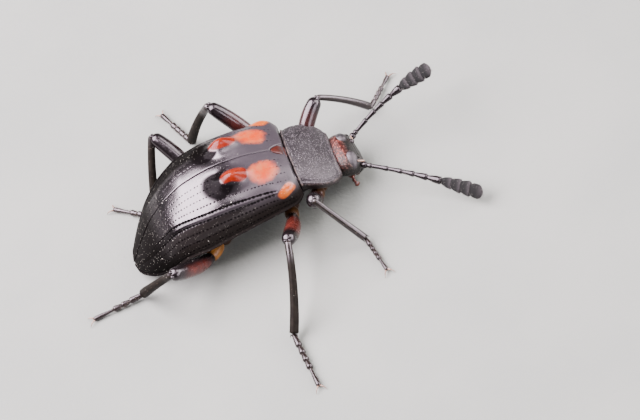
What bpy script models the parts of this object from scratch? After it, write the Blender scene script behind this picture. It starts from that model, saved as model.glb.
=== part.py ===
"""A darkling beetle, Phymatosoma rufonotatum, standing on its six feet at life size.

The axes are +X to the head, +Y to the beetle's left and +Z up. The feet stand on z = 0, and x = 0 is the
seam between the pronotum and the wing cases. Everything is made in millimetres, and the last step scales it
to metres and moves it so that the middle of its footprint is the origin.
"""

import math

import bmesh
import bpy
from mathutils import Matrix, Vector

MM = 0.001
GAP = 0.1  # clear space between neighbouring pieces, as at a membrane or a seam
SIDES = (("left", 1), ("right", -1))

# Wing cases: (x, value) along the body, from the base at x = 0 back to the tip
ELYTRA_LENGTH = 8.0
ELYTRA_TOP = ((0, 3.25), (-0.7, 3.62), (-2.0, 4.02), (-3.2, 4.12), (-4.4, 3.94), (-5.4, 3.48), (-6.4, 2.7),
              (-7.1, 1.85), (-7.6, 1.12), (-8.0, 0.5))
ELYTRA_HALF_WIDTH = ((0, 1.75), (-0.4, 2.1), (-1.5, 2.22), (-3.0, 2.32), (-4.5, 2.36), (-5.5, 2.18),
                     (-6.4, 1.88), (-7.1, 1.46), (-7.6, 1.02), (-7.88, 0.62), (-8.0, 0.28))
ELYTRA_MARGIN = ((0, 2.1), (-1.5, 2.1), (-3.0, 2.06), (-4.4, 1.96), (-5.5, 1.76), (-6.5, 1.1), (-7.3, 0.6),
                 (-8.0, 0.3))
BELLY = ((0, 1.15), (-1.0, 0.95), (-3.0, 0.85), (-5.0, 0.78), (-6.5, 0.5), (-8.0, 0.2))
ARCH_POWER = ((0, 3.0), (-2.5, 2.7), (-5.0, 2.35))  # above 2 the cross-section is squarer than an ellipse
WALL = 0.42  # thickness of a wing case
ELYTRA_STATIONS = 22
ARCH_STEPS = 9
HINDBODY_FRONT, HINDBODY_BACK = -0.12, -7.55

# Swellings on each wing case: (x, y, height, half length, half width)
TUBERCLE = (-2.42, 0.92, 0.42, 0.6, 0.4)
HUMERAL_CALLUS = (-0.64, 1.85, 0.5, 0.5, 0.34)

SCUTELLUM_LENGTH, SCUTELLUM_HALF_WIDTH = 0.7, 0.3

# Prothorax: its upper plate slopes down to the head, and its lower part holds the front legs
PROTHORAX_BACK, PROTHORAX_FRONT = 0.1, 1.74
PRONOTUM_TOP = ((0.1, 3.0), (0.6, 2.78), (1.2, 2.36), (1.74, 1.9))
PRONOTUM_EDGE = ((0.1, 2.45), (0.6, 2.28), (1.2, 1.95), (1.74, 1.58))
PRONOTUM_HALF_WIDTH = ((0.1, 1.58), (0.5, 1.7), (0.9, 1.74), (1.3, 1.63), (1.6, 1.38), (1.74, 1.1))
PROSTERNUM = ((0.1, 1.2), (0.6, 1.0), (1.2, 0.88), (1.74, 0.8))
PROTHORAX_STATIONS = 9
PLATE_POWER = 2.2
PLATE_LEDGE = 0.13  # how far the plate's side edge stands out over the flank

HEAD_POWER = 0.72  # 1 is a round cross-section and less is boxier
HEAD_BACK, HEAD_FRONT = 1.84, 2.74
HEAD_TOP = ((1.84, 1.74), (2.1, 1.76), (2.35, 1.66), (2.6, 1.36), (2.7, 1.12), (2.74, 1.0))
HEAD_HALF_WIDTH = ((1.84, 0.96), (2.1, 1.06), (2.4, 1.0), (2.6, 0.86), (2.7, 0.74), (2.74, 0.6))
HEAD_MIDDLE = ((1.84, 1.24), (2.4, 1.12), (2.74, 0.92))
HEAD_BOTTOM = ((1.84, 0.78), (2.1, 0.66), (2.4, 0.54), (2.6, 0.56), (2.7, 0.68), (2.74, 0.8))
HEAD_STATIONS = 9
EYE_CENTRE, EYE_RADII = (2.31, 0.67, 1.45), (0.27, 0.43, 0.25)
EYE_TURN, EYE_LEAN = 15, 37  # turned on its own axis, then leaned outward, in degrees
MOUTH_CENTRE, MOUTH_RADII = (2.1, 0, 0.38), (0.34, 0.68, 0.24)
PALP_PATH = ((2.04, 0.62, 0.42), (2.04, 0.76, 0.3), (2.08, 0.88, 0.27), (2.15, 1.0, 0.28))

ANTENNA_BASE = (2.64, 0.78, 1.18)
ANTENNA_TIPS = {"left": (6.92, 1.0, 2.85), "right": (6.89, -4.45, 0.62)}
ANTENNA_SAG = {"left": (0.6, 0.05), "right": (-0.26, 0.12)}  # mid-length bow, sideways and up
SHAFT_RADIUS = 0.23
CLUB_START = 0.65  # the club is the last 35 per cent of the feeler
CLUB_HALF_WIDTH, CLUB_HALF_THICKNESS = 0.36, 0.24

# Each leg: the joints from hip to claw, as (x, y away from the midline, z)
HIPS = {"front": (0.6, 0.55, 0.8), "mid": (-0.85, 0.9, 0.82), "hind": (-4.0, 0.95, 0.72)}
LEGS = {
    ("front", "left"): ((2.04, 2.44, 2.46), (3.86, 2.68, 0.36), (5.0, 3.8, 0.2)),
    ("front", "right"): ((0.28, 2.62, 2.54), (1.6, 3.87, 0.36), (1.94, 5.76, 0.2)),
    ("mid", "left"): ((-2.38, 3.74, 3.5), (-3.92, 5.05, 0.36), (-4.75, 7.25, 0.2)),
    ("mid", "right"): ((-1.33, 4.15, 2.62), (-2.7, 7.08, 0.36), (-2.48, 9.95, 0.2)),
    ("hind", "left"): ((-5.2, 4.18, 2.72), (-6.45, 1.95, 0.36), (-8.12, 3.45, 0.2)),
    ("hind", "right"): ((-6.44, 3.34, 2.7), (-8.12, 1.66, 0.36), (-10.5, 1.72, 0.2)),
}
# The point that each thigh bends towards, so that it passes below the rim of the back
THIGH_BENDS = {
    ("front", "left"): (0.68, 1.8, 1.8), ("front", "right"): (0.3, 1.7, 1.25),
    ("mid", "left"): (-0.9, 2.72, 1.4), ("mid", "right"): (-0.95, 2.7, 1.35),
    ("hind", "left"): (-4.2, 2.85, 1.62), ("hind", "right"): (-5.08, 2.4, 1.0),
}
HIP_RADIUS = 0.42
THIGH_RADII = (0.25, 0.27, 0.31, 0.35, 0.36, 0.33, 0.27)
SHIN_RADII = (0.24, 0.24, 0.24, 0.25, 0.27, 0.28)
KNEE_RADIUS = 0.27
TOE_COUNT = {"front": 5, "mid": 5, "hind": 4}
TOE_RADIUS, TOE_WAIST = 0.25, 0.19
CLAW_LENGTH, CLAW_SPREAD, CLAW_RADIUS = 0.34, 32, 0.1


def between(table, x):
    """The value at x of a smooth curve through a table of (place, value), which never overshoots."""
    points = sorted(table)
    x = min(max(x, points[0][0]), points[-1][0])
    last = len(points) - 1
    slopes = [(points[i + 1][1] - points[i][1]) / (points[i + 1][0] - points[i][0]) for i in range(last)]
    for i in range(last):
        if x <= points[i + 1][0]:
            break
    width = points[i + 1][0] - points[i][0]

    def tangent(k):
        if k == 0 or k == last:
            return slopes[min(k, last - 1)]
        a, b = slopes[k - 1], slopes[k]
        return 0 if a * b <= 0 else 2 * a * b / (a + b)

    t = (x - points[i][0]) / width
    m0, m1 = tangent(i) * width, tangent(i + 1) * width
    return (points[i][1] * (2 * t**3 - 3 * t**2 + 1) + m0 * (t**3 - 2 * t**2 + t)
            + points[i + 1][1] * (3 * t**2 - 2 * t**3) + m1 * (t**3 - t**2))


def material(name, colour, roughness, metallic=0.0):
    made = bpy.data.materials.new(name)
    made.use_nodes = True
    shader = made.node_tree.nodes["Principled BSDF"]
    shader.inputs["Base Color"].default_value = (*colour, 1)
    shader.inputs["Roughness"].default_value = roughness
    shader.inputs["Metallic"].default_value = metallic
    return made


def collection(name):
    made = bpy.data.collections.new(name)
    bpy.context.scene.collection.children.link(made)
    return made


def add_object(name, shape, home, finish=None):
    """Turns a bmesh into an object with smooth faces and crisp edges."""
    bmesh.ops.recalc_face_normals(shape, faces=shape.faces)
    mesh = bpy.data.meshes.new(name)
    shape.to_mesh(mesh)
    shape.free()
    mesh.shade_smooth()
    mesh.set_sharp_from_angle(angle=math.radians(40))
    made = bpy.data.objects.new(name, mesh)
    home.objects.link(made)
    if finish:
        mesh.materials.append(finish)
    return made


def loft(rings):
    """A closed body through rings of equal length, with a flat cap on each end."""
    shape = bmesh.new()
    loops = [[shape.verts.new(p) for p in ring] for ring in rings]
    count = len(loops[0])
    for a, b in zip(loops, loops[1:]):
        for i in range(count):
            j = (i + 1) % count
            shape.faces.new((a[i], a[j], b[j], b[i]))
    shape.faces.new(loops[0])
    shape.faces.new(loops[-1])
    bmesh.ops.triangulate(shape, faces=shape.faces)
    return shape


def cut(target, cutter):
    """Cuts a mesh object with another and keeps the largest closed piece."""
    modifier = target.modifiers.new("cut", "BOOLEAN")
    modifier.operation = "DIFFERENCE"
    modifier.solver = "EXACT"
    modifier.object = cutter
    apply_modifiers(target)
    keep_largest(target)


def fuse(target, pieces):
    """Joins pieces to the target with one union, then removes them."""
    together = collection("pieces_" + target.name)
    for piece in pieces:
        for home in list(piece.users_collection):
            home.objects.unlink(piece)
        together.objects.link(piece)
    modifier = target.modifiers.new("join", "BOOLEAN")
    modifier.operation = "UNION"
    modifier.solver = "EXACT"
    modifier.operand_type = "COLLECTION"
    modifier.collection = together
    apply_modifiers(target)
    for piece in pieces:
        bpy.data.objects.remove(piece)
    bpy.data.collections.remove(together)
    keep_largest(target)


def apply_modifiers(target):
    graph = bpy.context.evaluated_depsgraph_get()
    graph.update()
    mesh = bpy.data.meshes.new_from_object(target.evaluated_get(graph))
    target.modifiers.clear()
    target.data = mesh


def keep_largest(target):
    """Drops every closed surface but the one with the largest box, as a cut can leave loose scraps."""
    shape = bmesh.new()
    shape.from_mesh(target.data)
    unseen, groups = set(shape.verts), []
    while unseen:
        group, edge = set(), [unseen.pop()]
        while edge:
            vert = edge.pop()
            group.add(vert)
            for link in vert.link_edges:
                other = link.other_vert(vert)
                if other in unseen:
                    unseen.discard(other)
                    edge.append(other)
        groups.append(group)

    def reach(group):
        return sum(max(v.co[i] for v in group) - min(v.co[i] for v in group) for i in range(3))

    groups.sort(key=reach)
    for group in groups[:-1]:
        bmesh.ops.delete(shape, geom=list(group), context="VERTS")
    shape.to_mesh(target.data)
    shape.free()


def stand_on_floor(target):
    """Slices off whatever hangs below z = 0, which leaves the small flats that the beetle stands on."""
    shape = bmesh.new()
    shape.from_mesh(target.data)
    parts = list(shape.verts) + list(shape.edges) + list(shape.faces)
    sliced = bmesh.ops.bisect_plane(shape, geom=parts, plane_co=(0, 0, 0), plane_no=(0, 0, 1),
                                    clear_inner=True)
    rim = [e for e in sliced["geom_cut"] if isinstance(e, bmesh.types.BMEdge)]
    bmesh.ops.holes_fill(shape, edges=rim)
    bmesh.ops.triangulate(shape, faces=shape.faces)
    bmesh.ops.recalc_face_normals(shape, faces=shape.faces)
    shape.to_mesh(target.data)
    shape.free()


def tube(name, path, radii, home, finish=None):
    """A round limb along a path, as a curve with one radius for each point, made into a closed mesh."""
    curve = bpy.data.curves.new(name, "CURVE")
    curve.dimensions = "3D"
    curve.bevel_depth = 1
    curve.bevel_resolution = 2
    curve.use_fill_caps = True
    spline = curve.splines.new("POLY")
    spline.points.add(len(path) - 1)
    for point, place, radius in zip(spline.points, path, radii):
        point.co = (*place, 1)
        point.radius = radius
    guide = bpy.data.objects.new(name + "_curve", curve)
    home.objects.link(guide)
    graph = bpy.context.evaluated_depsgraph_get()
    graph.update()
    mesh = bpy.data.meshes.new_from_object(guide.evaluated_get(graph))
    bpy.data.objects.remove(guide)
    shape = bmesh.new()
    shape.from_mesh(mesh)
    bpy.data.meshes.remove(mesh)
    bmesh.ops.remove_doubles(shape, verts=shape.verts, dist=0.0001)
    bmesh.ops.triangulate(shape, faces=shape.faces)
    return add_object(name, shape, home, finish)


def quadratic(start, middle, end, steps):
    """Points along the smooth arc that starts and ends at two points and bends towards a third."""
    a, b, c = Vector(start), Vector(middle), Vector(end)
    places = []
    for i in range(steps + 1):
        t = i / steps
        places.append(a * (1 - t) ** 2 + b * 2 * t * (1 - t) + c * t * t)
    return places


def swelling(x, y, bump):
    """Height that a smooth rounded knob adds at a place on a wing case."""
    at_x, at_y, height, half_length, half_width = bump
    far = ((x - at_x) / half_length) ** 2 + ((abs(y) - at_y) / half_width) ** 2
    return height * math.exp(-far)


def arch_point(x, share, inset=0.0):
    """A point on the wing cases' arch at x, share 0 on the midline and 1 at the margin, drawn in by inset."""
    angle = share * math.pi / 2
    half_width = max(between(ELYTRA_HALF_WIDTH, x) - inset, 0.14)
    margin = between(ELYTRA_MARGIN, x)
    rise = max(between(ELYTRA_TOP, x) - inset - margin, 0.06)
    power = 2 / between(ARCH_POWER, x)
    y = half_width * math.sin(angle) ** power
    z = margin + rise * math.cos(angle) ** power
    return y, z


def elytron_stations():
    """Places along the body, closer together towards the tip."""
    steps = ELYTRA_STATIONS
    return [-ELYTRA_LENGTH * math.sin(i / steps * math.pi / 2) ** 0.95 for i in range(steps + 1)]


def elytron_shell(side):
    """Half of the domed back as a curved plate, WALL thick and open below, so the body fits inside."""
    rings = []
    for x in elytron_stations():
        surfaces = []
        for inset in (0, WALL):
            squeeze = 1 - GAP / 2 / arch_point(x, 1, inset)[0]
            surface = []
            for i in range(ARCH_STEPS + 1):
                share = i / ARCH_STEPS
                y, z = arch_point(x, share, inset)
                y = GAP / 2 + y * squeeze
                if not inset:
                    z += swelling(x, y, TUBERCLE) + swelling(x, y, HUMERAL_CALLUS) * (1 - share)
                surface.append(Vector((x, side * y, z)))
            surfaces.append(surface)
        outer, inner = surfaces
        rings.append(outer + inner[::-1])
    return loft(rings)


def hindbody(extra=0.0):
    """The hidden back under the wing cases with the chest and belly below, as a full ring at each station.
    Extra swells it, for cutting its neighbours clear of it."""
    rings = []
    steps = 16
    front, back = HINDBODY_FRONT + 2 * extra, HINDBODY_BACK - extra
    for k in range(steps + 1):
        x = front + (back - front) * k / steps
        inset = WALL + GAP - extra
        half = [arch_point(x, i / 6, inset) for i in range(7)]
        width, margin = half[-1]
        depth = margin - between(BELLY, x) + extra
        for i in range(1, 6):
            angle = i / 5 * math.pi / 2
            half.append((width * math.cos(angle) ** 0.8, margin - depth * math.sin(angle) ** 0.8))
        right_side = [(-y, z) for y, z in reversed(half[1:-1])]
        rings.append([Vector((x, y, z)) for y, z in half + right_side])
    return loft(rings)


def prothorax(extra=0.0):
    rings = []
    for k in range(PROTHORAX_STATIONS + 1):
        x = PROTHORAX_BACK + (PROTHORAX_FRONT - PROTHORAX_BACK) * k / PROTHORAX_STATIONS
        top, edge = between(PRONOTUM_TOP, x), between(PRONOTUM_EDGE, x)
        width, bottom = between(PRONOTUM_HALF_WIDTH, x), between(PROSTERNUM, x)
        half = []
        for i in range(7):
            angle = i / 6 * math.pi / 2
            half.append(((width + extra) * math.sin(angle) ** (2 / PLATE_POWER),
                         edge + (top - edge + extra) * math.cos(angle) ** (2 / PLATE_POWER)))
        for i in range(7):
            angle = i / 6 * math.pi / 2
            half.append(((width - PLATE_LEDGE + extra) * math.cos(angle) ** 1.15,
                         edge - 0.12 - (edge - 0.12 - bottom + extra) * math.sin(angle) ** 0.9))
        other = [(-y, z) for y, z in reversed(half[1:-1])]
        rings.append([Vector((x, y, z)) for y, z in half + other])
    return loft(rings)


def head(extra=0.0):
    rings = []
    for k in range(HEAD_STATIONS + 1):
        x = HEAD_BACK + (HEAD_FRONT - HEAD_BACK) * math.sin(k / HEAD_STATIONS * math.pi / 2)
        middle, width = between(HEAD_MIDDLE, x), between(HEAD_HALF_WIDTH, x) + extra
        up, down = between(HEAD_TOP, x) - middle + extra, middle - between(HEAD_BOTTOM, x) + extra
        ring = []
        for i in range(20):
            angle = i / 20 * 2 * math.pi
            height = up if math.cos(angle) > 0 else down
            across = math.copysign(abs(math.sin(angle)) ** HEAD_POWER, math.sin(angle))
            ring.append(Vector((x, width * across, middle + height * math.copysign(
                abs(math.cos(angle)) ** HEAD_POWER, math.cos(angle)))))
        rings.append(ring)
    return loft(rings)


def ellipsoid(centre, radii, segments=16, rings=10, turn=0, lean=0):
    """A closed ball with three radii, turned about the vertical and then leaned sideways, in degrees."""
    shape = bmesh.new()
    bmesh.ops.create_uvsphere(shape, u_segments=segments, v_segments=rings, radius=1)
    bmesh.ops.scale(shape, vec=radii, verts=shape.verts)
    for angle, axis in ((turn, "Z"), (lean, "X")):
        turned = Matrix.Rotation(math.radians(angle), 3, axis)
        bmesh.ops.rotate(shape, cent=(0, 0, 0), matrix=turned, verts=shape.verts)
    bmesh.ops.translate(shape, vec=centre, verts=shape.verts)
    bmesh.ops.triangulate(shape, faces=shape.faces)
    return shape


def eyeball(side, extra=0.0):
    """A flat bean that lies nearly flush in the upper side of the head."""
    x, y, z = EYE_CENTRE
    radii = [r + extra for r in EYE_RADII]
    return ellipsoid((x, side * y, z), radii, turn=side * EYE_TURN, lean=-side * EYE_LEAN)


def make_back(home, tools, finish):
    """The two wing cases, the scutellum between their bases and the body that they cover."""
    add_object("hindbody", hindbody(), home, finish["belly"])
    add_object("core_cutter", hindbody(GAP), tools)
    notch = scutellum_prism(GAP, 2.0, 6.0)
    notch_tool = add_object("scutellum_cutter", notch, tools)
    for name, side in SIDES:
        elytron = add_object("elytron_" + name, elytron_shell(side), home, finish["elytron"])
        cut(elytron, notch_tool)
    top = between(ELYTRA_TOP, -SCUTELLUM_LENGTH / 2) + 0.06
    add_object("scutellum", scutellum_prism(0, top - WALL, top), home, finish["scutellum"])


def scutellum_prism(extra, low, high):
    """A triangle that points to the back, between two heights that follow the slope of the back."""
    half, length = SCUTELLUM_HALF_WIDTH + 3.5 * extra, SCUTELLUM_LENGTH + 2.4 * extra
    front = 0.5 if extra else -0.02
    tail, tip = -length + 0.1, 0.06 + extra / 2
    corners = ((front, -half), (front, half), (tail, tip), (tail, -tip))
    rise = between(ELYTRA_TOP, -SCUTELLUM_LENGTH) - between(ELYTRA_TOP, 0)
    rings = []
    for z in (low, high):
        rings.append([Vector((x, y, z - (0.5 + x / SCUTELLUM_LENGTH) * rise * (0 if extra else 1)))
                      for x, y in corners])
    return loft(rings)


def make_head(home, tools, finish):
    add_object("prothorax", prothorax(), home, finish["pronotum"])
    skull = add_object("head", head(), home, finish["head"])
    for name, side in SIDES:
        cut(skull, add_object("eye_cutter_" + name, eyeball(side, GAP), tools))
    seat = add_object("head_cutter", head(GAP), tools)
    for name, side in SIDES:
        add_object("eye_" + name, eyeball(side), home, finish["eye"])
    mouth = add_object("mouthparts", ellipsoid(MOUTH_CENTRE, MOUTH_RADII, 14, 8), home, finish["mouth"])
    cut(mouth, seat)
    for name, side in SIDES:
        path = [(x, side * y, z) for x, y, z in PALP_PATH]
        palp = tube("palp_" + name, path, (0.1, 0.14, 0.2, 0.14), home, finish["mouth"])
        cut(palp, seat)
        cut(palp, mouth_clearance(tools))


def mouth_clearance(tools):
    found = tools.objects.get("mouth_cutter")
    radii = [r + GAP for r in MOUTH_RADII]
    return found or add_object("mouth_cutter", ellipsoid(MOUTH_CENTRE, radii, 14, 8), tools)


def antenna_path(name, side, steps):
    x, y, z = ANTENNA_BASE
    start, end = Vector((x, side * y, z)), Vector(ANTENNA_TIPS[name])
    sideways, up = ANTENNA_SAG[name]
    middle = (start + end) / 2 + Vector((0, side * sideways, up))
    return quadratic(start, middle, end, steps)


def beads(count, waist, full, per=4):
    """(share of length, radius) pairs for a row of pieces, each widest near its far end."""
    made = []
    for k in range(count):
        for j in range(per):
            swell = math.sin((j / per) * math.pi * 0.75)
            made.append(((k + j / per) / count, waist + (full - waist) * swell))
    made.append((1.0, waist))
    return made


def along(path, share):
    """The point at a share of the number of steps along a list of points."""
    place = share * (len(path) - 1)
    i = min(int(place), len(path) - 2)
    return path[i].lerp(path[i + 1], place - i)


def make_antenna(name, side, home, tools, finish):
    path = antenna_path(name, side, 48)
    total = (path[-1] - path[0]).length
    spans = {"scape": (0.0, 0.15, 2), "shaft": (0.15, CLUB_START, 5)}
    for part, (low, high, count) in spans.items():
        trim = GAP / 2 / total
        places = [(low + trim + (high - low - 2 * trim) * t, r) for t, r in
                  beads(count, SHAFT_RADIUS * 0.9, SHAFT_RADIUS * 1.14, 3)]
        line, radii = [along(path, t) for t, _ in places], [r for _, r in places]
        made = tube(f"antenna_{part}_{name}", line, radii, home, finish["antenna"])
        if part == "scape":
            cut(made, tools.objects["head_cutter"])
            cut(made, tools.objects["eye_cutter_" + name])
    club(name, side, path, home, finish["club"])


def club(name, side, path, home, finish):
    """Four broad, flat end pieces and one small one before them, notched where they meet."""
    rings = []
    start = CLUB_START + GAP / 2 / (path[-1] - path[0]).length
    widths = (0.55, 0.82, 1.0, 1.05, 1.0)
    count, per, corners = len(widths), 4, 12
    for k in range(count * per + 1):
        piece, step = min(k // per, count - 1), (k / per) % 1 if k < count * per else 1
        swell = 0.72 + 0.28 * math.sin(min(step, 0.999) * math.pi * 0.85)
        if k > count * per - 3:
            swell = math.sqrt(max(1 - ((k - count * per + 3) / 3.3) ** 2, 0.05))
        share = start + (1 - start) * k / (count * per)
        here = along(path, share)
        ahead = (along(path, min(share + 0.01, 1)) - along(path, max(share - 0.01, 0))).normalized()
        facing = Vector((0.1, -0.45, 0.85)) if side > 0 else Vector((0.1, -0.85, 0.3))
        across = ahead.cross(facing).normalized()
        through = across.cross(ahead).normalized()
        ring = []
        for i in range(corners):
            angle = i / corners * 2 * math.pi
            ring.append(here + across * math.cos(angle) * CLUB_HALF_WIDTH * widths[piece] * swell
                        + through * math.sin(angle) * CLUB_HALF_THICKNESS * (0.75 + 0.25 * swell))
        rings.append(ring)
    add_object("antenna_club_" + name, loft(rings), home, finish)


def make_leg(pair, name, side, home, tools, finish):
    hip = Vector(HIPS[pair])
    hip.y *= side
    knee, ankle, claw = (Vector((x, side * y, z)) for x, y, z in LEGS[pair, name])
    tag = f"{pair}_{name}"

    ball = ellipsoid(hip, (HIP_RADIUS * 1.1, HIP_RADIUS, HIP_RADIUS * 0.9), 12, 8)
    coxa = add_object("coxa_" + tag, ball, home, finish["leg"])
    cut(coxa, tools.objects["prothorax_cutter" if pair == "front" else "core_cutter"])

    x, y, z = THIGH_BENDS[pair, name]
    bend = Vector((x, side * y, z))
    out = (bend - hip).normalized()
    start = hip + out * (HIP_RADIUS * 1.1 + GAP)
    places = quadratic(start, bend, knee, len(THIGH_RADII) - 1)
    end = (places[-1] - places[-2]).normalized()
    radii = list(THIGH_RADII)
    for share in (0.5, 0.85):
        places.append(knee + end * KNEE_RADIUS * share)
        radii.append(KNEE_RADIUS * math.sqrt(1 - share * share))
    femur = tube("femur_" + tag, places, radii, home, finish["femur"])
    cut(femur, tools.objects["prothorax_cutter" if pair == "front" else "core_cutter"])

    places = [knee.lerp(ankle, i / (len(SHIN_RADII) - 1)) for i in range(len(SHIN_RADII))]
    tibia = tube("tibia_" + tag, places, SHIN_RADII, home, finish["leg"])
    places = quadratic(start, bend, knee, len(THIGH_RADII) - 1) + [knee + end * KNEE_RADIUS]
    radii = [r + GAP for r in THIGH_RADII] + [KNEE_RADIUS * 0.7 + GAP]
    cut(tibia, tube("knee_cutter_" + tag, places, radii, tools))
    first_toe = [Vector((*p.xy, TOE_RADIUS)) for p in (ankle.lerp(claw, t) for t in (-0.1, 0, 0.2, 0.4))]
    cut(tibia, tube("ankle_cutter_" + tag, first_toe, [TOE_RADIUS + GAP * 0.9] * 4, tools))
    make_foot(tag, TOE_COUNT[pair], ankle, claw, home, finish["leg"])


def make_foot(tag, count, ankle, claw, home, finish):
    """A row of short pieces lying on the floor, with two hooked claws."""
    ahead = (claw - ankle).normalized()
    start = Vector((ankle.x, ankle.y, TOE_RADIUS - 0.03)) - ahead * 0.05
    end = Vector((claw.x, claw.y, TOE_RADIUS - 0.03))
    rows = beads(count, TOE_WAIST, TOE_RADIUS, 3)
    foot = tube("tarsus_" + tag, [start.lerp(end, t) for t, _ in rows], [r for _, r in rows], home, finish)
    claws = []
    for turn in (-1, 1):
        aim = ahead.copy()
        aim.z = 0
        aim.normalize()
        aim = Matrix.Rotation(math.radians(turn * CLAW_SPREAD), 3, "Z") @ aim
        root = end - aim * 0.15
        bend = end + aim * CLAW_LENGTH * 0.6 + Vector((0, 0, 0.05))
        tip = end + aim * CLAW_LENGTH - Vector((0, 0, 0.12))
        radii = [CLAW_RADIUS * r for r in (1, 1, 0.8, 0.6, 0.3)]
        claws.append(tube("claw", quadratic(root, bend, tip, 4), radii, home))
    fuse(foot, claws)
    stand_on_floor(foot)


def to_metres(home, tools):
    """Scales all meshes from millimetres to metres, the middle of the beetle's footprint at the origin."""
    corners = [v.co for made in home.objects for v in made.data.vertices]
    middle = [(min(c[i] for c in corners) + max(c[i] for c in corners)) / 2 for i in range(2)]
    move = Matrix.Scale(MM, 4) @ Matrix.Translation((-middle[0], -middle[1], 0))
    for made in list(home.objects) + list(tools.objects):
        made.data.transform(move)


def make_finishes():
    black, brown = (0.012, 0.011, 0.012), (0.06, 0.02, 0.016)
    return {
        "elytron": material("elytron_black", black, 0.22),
        "belly": material("belly_black", black, 0.4),
        "scutellum": material("scutellum_red", (0.3, 0.06, 0.03), 0.3),
        "pronotum": material("pronotum_grey", (0.03, 0.028, 0.03), 0.6),
        "head": material("head_brown", brown, 0.45),
        "eye": material("eye_grey", (0.05, 0.05, 0.055), 0.35),
        "mouth": material("mouth_red_brown", (0.16, 0.05, 0.02), 0.35),
        "antenna": material("antenna_black", black, 0.35),
        "club": material("club_matte_black", (0.02, 0.019, 0.02), 0.85),
        "leg": material("leg_black", black, 0.3),
        "femur": material("femur_red_black", (0.05, 0.012, 0.01), 0.25),
    }


def main():
    for old in list(bpy.data.objects):
        bpy.data.objects.remove(old)
    home, tools = collection("beetle"), collection("cutters")
    tools.hide_render = True
    finish = make_finishes()
    make_back(home, tools, finish)
    make_head(home, tools, finish)
    add_object("prothorax_cutter", prothorax(GAP), tools)
    for name, side in SIDES:
        make_antenna(name, side, home, tools, finish)
    for pair in HIPS:
        for name, side in SIDES:
            make_leg(pair, name, side, home, tools, finish)
    for tool in tools.objects:
        tool.hide_render = True
        tool.display_type = "WIRE"
    to_metres(home, tools)


main()
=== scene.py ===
"""The looks of a darkling beetle with spotted wing cases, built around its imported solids.

Shapes are in the beetle's own millimetres, as in the solids: +X to the head, +Y to its left, +Z up, x = 0 at
the seam between pronotum and wing cases, z = 0 at the floor. TO_ROW carries them into the frame.
"""

import math

import bmesh
import bpy
import numpy as np
from mathutils import Matrix, Vector, noise


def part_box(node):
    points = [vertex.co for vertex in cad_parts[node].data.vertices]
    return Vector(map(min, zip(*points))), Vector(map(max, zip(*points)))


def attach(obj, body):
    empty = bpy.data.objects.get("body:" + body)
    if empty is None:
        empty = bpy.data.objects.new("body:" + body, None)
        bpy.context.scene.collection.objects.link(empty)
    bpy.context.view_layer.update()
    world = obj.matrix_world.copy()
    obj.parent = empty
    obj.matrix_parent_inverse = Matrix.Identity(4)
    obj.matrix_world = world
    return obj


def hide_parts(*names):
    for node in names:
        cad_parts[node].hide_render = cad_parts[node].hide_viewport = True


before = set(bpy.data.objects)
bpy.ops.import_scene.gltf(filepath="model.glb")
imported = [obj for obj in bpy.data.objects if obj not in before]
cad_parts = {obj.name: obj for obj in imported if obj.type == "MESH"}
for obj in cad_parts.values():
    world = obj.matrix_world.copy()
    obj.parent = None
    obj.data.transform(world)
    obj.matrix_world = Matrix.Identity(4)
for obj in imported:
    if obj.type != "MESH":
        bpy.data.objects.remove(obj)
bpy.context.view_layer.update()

MM = 0.001
SIDES = (("left", 1), ("right", -1))
PROTHORAX_REAR = 0.1  # where the solid prothorax begins

low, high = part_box("prothorax")
SHIFT = Vector((low[0] - PROTHORAX_REAR * MM, (low[1] + high[1]) / 2, 0))
TO_ROW = Matrix.Translation(SHIFT) @ Matrix.Scale(MM, 4)


def between(table, x):
    """The value at x of a smooth curve through a table of (place, value), without overshoot."""
    points = sorted(table)
    places, values = (np.array(column, float) for column in zip(*points))
    slopes = np.diff(values) / np.diff(places)
    inner, total = slopes[:-1] * slopes[1:], slopes[:-1] + slopes[1:]
    tangents = np.where(inner > 0, 2 * inner / np.where(total == 0, 1, total), 0)
    tangents = np.concatenate(([slopes[0]], tangents, [slopes[-1]]))
    x = np.clip(x, places[0], places[-1])
    i = np.clip(np.searchsorted(places, x) - 1, 0, len(places) - 2)
    width = places[i + 1] - places[i]
    t = (x - places[i]) / width
    return (values[i] * (2 * t**3 - 3 * t**2 + 1) + tangents[i] * width * (t**3 - 2 * t**2 + t)
            + values[i + 1] * (3 * t**2 - 2 * t**3) + tangents[i + 1] * width * (t**3 - t**2))


def ease(low_edge, high_edge, value):
    """Rises smoothly from 0 at the first edge to 1 at the second."""
    t = np.clip((value - low_edge) / (high_edge - low_edge), 0, 1)
    return t * t * (3 - 2 * t)


def bell(value, centre, width, height=1.0):
    """A smooth bump: its height at the centre, and 0.37 of it at one width to either side."""
    return height * np.exp(-((value - centre) / width) ** 2)


def dome(distance, radius, least=0.0):
    """The rise of a rounded edge at a distance in from it, from the root of least up to 1."""
    return np.sqrt(np.clip(1 - (1 - np.clip(distance / radius, 0, 1)) ** 2, least, 1))


def signed_power(value, power):
    return np.sign(value) * np.abs(value) ** power


# Materials

DUST = (0.5, 0.47, 0.42)
LILAC = (1, 0.86, 0.95)  # the tint of the shell's shine
# The two colours that mottle each kind of spot on the wing cases
SPOT_COLOURS = {
    "patch": ((0.24, 0.021, 0.0025), (0.215, 0.048, 0.018)),
    "shoulder": ((0.27, 0.06, 0.007), (0.22, 0.036, 0.005)),
    "knob": ((0.085, 0.005, 0.0015), (0.115, 0.0095, 0.0025)),
}
# The share of its shine that each area of a wing case loses; the dark zone round the knob's hollow loses all
# of it, as painted shade
SHINE_LOSS = {"hollow": 1.0, "patch": 0.6, "knob": 0.74, "satin_and_sheen": 0.5, "band": 0.5, "shoulder": 0.6}
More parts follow.
